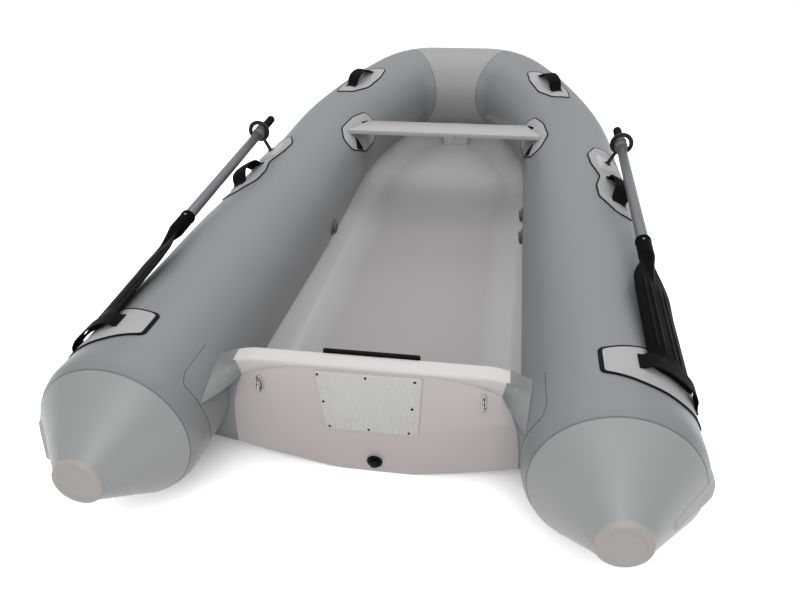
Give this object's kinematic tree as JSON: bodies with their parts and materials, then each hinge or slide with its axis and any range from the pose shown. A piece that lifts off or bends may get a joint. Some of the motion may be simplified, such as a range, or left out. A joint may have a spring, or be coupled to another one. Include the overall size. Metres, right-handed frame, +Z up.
{
  "type": "inflatable rib boat",
  "caption": "Rigid inflatable boat with a moulded hull, raked transom, inflated tubes joined at a blunt bow, a bench, hand grips and oars stowed along the tubes.",
  "frame": {"origin": "under the middle of the overall length, at the flat keel pad that it rests on", "axes": "+X to starboard, +Y forward to the bow, +Z up"},
  "size_m": [1.702, 3.416, 0.749],
  "materials": {
    "tube_fabric": "satin coated fabric",
    "cone_fabric": "satin coated fabric",
    "end_rubber": "satin",
    "strake_rubber": "satin",
    "hull_gelcoat": "satin",
    "deck_gelcoat": "satin",
    "transom_gelcoat": "satin",
    "cap_white": "satin",
    "pad_plastic": "embossed",
    "black_plastic": "satin",
    "stainless": "polished",
    "patch_fabric": "satin coated fabric",
    "webbing": "woven",
    "bench_white": "satin",
    "oar_alloy": "anodised",
    "collar_grey": "satin",
    "valve_grey": "satin"
  },
  "bodies": {
    "boat": {"tube_port": "tube_fabric", "tube_starboard": "tube_fabric", "tube_bow": "tube_fabric", "cone_port": "cone_fabric", "cone_starboard": "cone_fabric", "cone_caps": "end_rubber", "rub_strake": "strake_rubber", "hull_bottom": "hull_gelcoat", "deck_liner": "deck_gelcoat", "transom": "transom_gelcoat", "transom_cap": "cap_white", "motor_pad": "pad_plastic", "clamp_plate": "black_plastic", "transom_eyes": "stainless", "drain_plug": "black_plastic", "transom_flaps": "tube_fabric", "aft_patches": "patch_fabric", "mid_patches": "patch_fabric", "seat_patches": "patch_fabric", "bow_patches": "patch_fabric", "mid_handles": "webbing", "bow_handles": "webbing", "keeper_straps": "webbing", "bench_seat": "bench_white", "seat_tabs": "webbing", "rowlock_bases": "collar_grey", "rowlocks": "black_plastic", "valves": "valve_grey", "bow_eye": "stainless"},
    "oar_port": {"oar_grip_port": "black_plastic", "oar_shaft_port": "oar_alloy", "oar_collar_port": "collar_grey", "oar_blade_port": "black_plastic"},
    "oar_starboard": {"oar_grip_starboard": "black_plastic", "oar_shaft_starboard": "oar_alloy", "oar_collar_starboard": "collar_grey", "oar_blade_starboard": "black_plastic"}
  },
  "joints": [
    {"name": "oar_port_slide", "type": "slide", "parent": "boat", "child": "oar_port", "axis": [-0.0154, 0.9963, 0.0841], "range_m": [0, 0.18]},
    {"name": "oar_starboard_slide", "type": "slide", "parent": "boat", "child": "oar_starboard", "axis": [0.0154, 0.9963, 0.0841], "range_m": [0, 0.18]}
  ]
}
